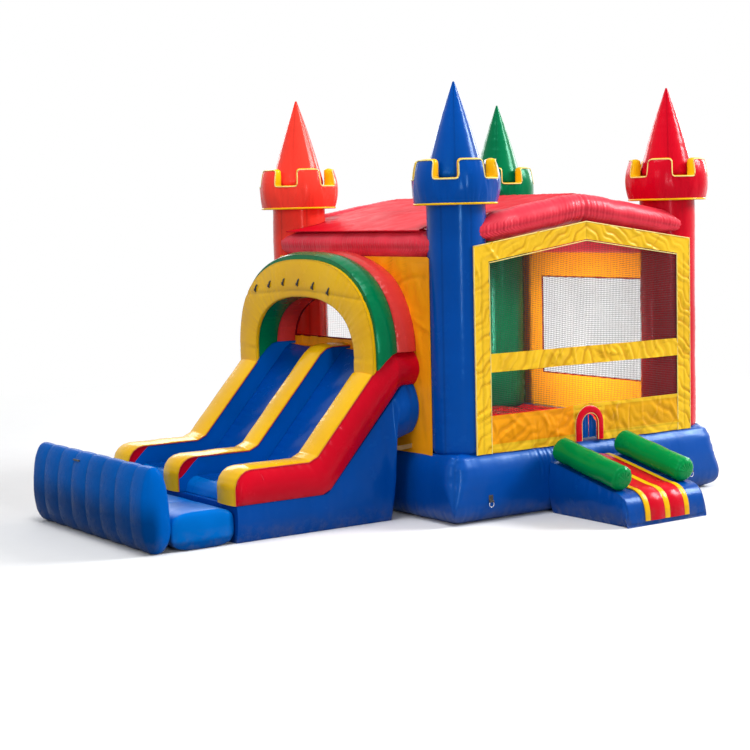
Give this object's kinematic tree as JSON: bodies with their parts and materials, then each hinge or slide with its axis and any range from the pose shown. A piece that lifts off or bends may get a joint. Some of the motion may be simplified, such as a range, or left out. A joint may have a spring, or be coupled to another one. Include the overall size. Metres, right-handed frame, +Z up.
{
  "type": "inflatable bounce house",
  "caption": "Inflatable castle bounce house with turrets, netted walls, an entrance ramp and a slide with an arch, lanes and a ribbed landing bumper.",
  "frame": {"origin": "on the ground under the middle of the house", "axes": "+X to the right along the front, away from the slide; +Y to the back; +Z up"},
  "size_m": [7.2612, 5.8123, 4.706],
  "materials": {
    "vinyl_blue": "glossy coated vinyl fabric",
    "vinyl_light_blue": "glossy coated vinyl fabric",
    "vinyl_red": "glossy coated vinyl fabric",
    "vinyl_orange_red": "glossy coated vinyl fabric",
    "vinyl_green": "glossy coated vinyl fabric",
    "vinyl_yellow": "glossy coated vinyl fabric",
    "vinyl_orange": "glossy coated vinyl fabric",
    "net_dark": "knotless mesh",
    "net_light": "knotless mesh",
    "webbing_tan": "woven webbing",
    "webbing_dark": "woven webbing",
    "steel": "zinc-plated steel"
  },
  "bodies": {
    "house": {"base_tubes": "vinyl_blue", "bounce_floor": "vinyl_red", "beam_front": "vinyl_red", "beam_back": "vinyl_red", "beam_left": "vinyl_red", "beam_right": "vinyl_red", "roof_cover": "vinyl_red", "front_frame": "vinyl_yellow", "front_net": "net_dark", "front_strap": "vinyl_yellow", "front_lower_panel": "vinyl_yellow", "doorway_band": "vinyl_red", "right_wall": "vinyl_orange", "right_net": "net_light", "back_wall": "vinyl_orange", "back_net": "net_light", "left_wall": "vinyl_orange", "slide_toe": "vinyl_blue", "slide_incline": "vinyl_blue", "lane_near": "vinyl_blue", "lane_far": "vinyl_blue", "rail_near": "vinyl_red", "rail_middle": "vinyl_blue", "rail_far": "vinyl_red", "rail_caps": "vinyl_yellow", "arch_face": "vinyl_yellow", "arch_green": "vinyl_green", "arch_red": "vinyl_red", "arch_hose_ties": "webbing_dark", "landing_pad": "vinyl_light_blue", "landing_bumper": "vinyl_blue", "ramp_body": "vinyl_blue", "ramp_tread": "vinyl_red", "ramp_bolsters": "vinyl_green", "tie_strap": "webbing_tan", "climb_wall": "vinyl_blue", "climb_steps": "vinyl_orange", "blower_sleeve": "vinyl_blue", "deflation_zip": "webbing_dark", "anchor_tabs": "webbing_dark", "column_front_left": "vinyl_blue", "crown_front_left": "vinyl_blue", "spire_front_left": "vinyl_blue", "column_front_right": "vinyl_red", "crown_front_right": "vinyl_red", "spire_front_right": "vinyl_red", "column_back_right": "vinyl_green", "crown_back_right": "vinyl_green", "spire_back_right": "vinyl_green", "column_back_left": "vinyl_orange_red", "crown_back_left": "vinyl_orange_red", "spire_back_left": "vinyl_orange_red"},
    "door_flap_left": {"door_flap_left": "vinyl_blue"},
    "door_flap_right": {"door_flap_right": "vinyl_blue"},
    "zip_slider": {"zip_slider": "steel"},
    "anchor_ring_front_left": {"anchor_ring_front_left": "steel"},
    "anchor_ring_front_right": {"anchor_ring_front_right": "steel"},
    "anchor_ring_back_right": {"anchor_ring_back_right": "steel"},
    "anchor_ring_back_left": {"anchor_ring_back_left": "steel"}
  },
  "joints": [
    {"name": "left_flap_swing", "type": "hinge", "parent": "house", "child": "door_flap_left", "pos_m": [-0.1097, -1.8963, 0.9], "axis": [0, 0, 1], "range_deg": [-75, 75], "stiffness_Nm_per_rad": 0.02},
    {"name": "right_flap_swing", "type": "hinge", "parent": "house", "child": "door_flap_right", "pos_m": [0.1097, -1.8963, 0.9], "axis": [0, 0, 1], "range_deg": [-75, 75], "stiffness_Nm_per_rad": 0.02},
    {"name": "zip_pull", "type": "slide", "parent": "house", "child": "zip_slider", "axis": [1, 0, 0], "range_m": [0, 0.548]},
    {"name": "front_left_ring_swing", "type": "hinge", "parent": "house", "child": "anchor_ring_front_left", "pos_m": [-1.5, -2.0126, 0.23], "axis": [-1, 0, 0], "range_deg": [0, 100]},
    {"name": "front_right_ring_swing", "type": "hinge", "parent": "house", "child": "anchor_ring_front_right", "pos_m": [1.5, -2.0126, 0.23], "axis": [-1, 0, 0], "range_deg": [0, 100]},
    {"name": "back_right_ring_swing", "type": "hinge", "parent": "house", "child": "anchor_ring_back_right", "pos_m": [1.5, 2.0126, 0.23], "axis": [1, 0, 0], "range_deg": [0, 100]},
    {"name": "back_left_ring_swing", "type": "hinge", "parent": "house", "child": "anchor_ring_back_left", "pos_m": [-1.5, 2.0126, 0.23], "axis": [1, 0, 0], "range_deg": [0, 100]}
  ]
}
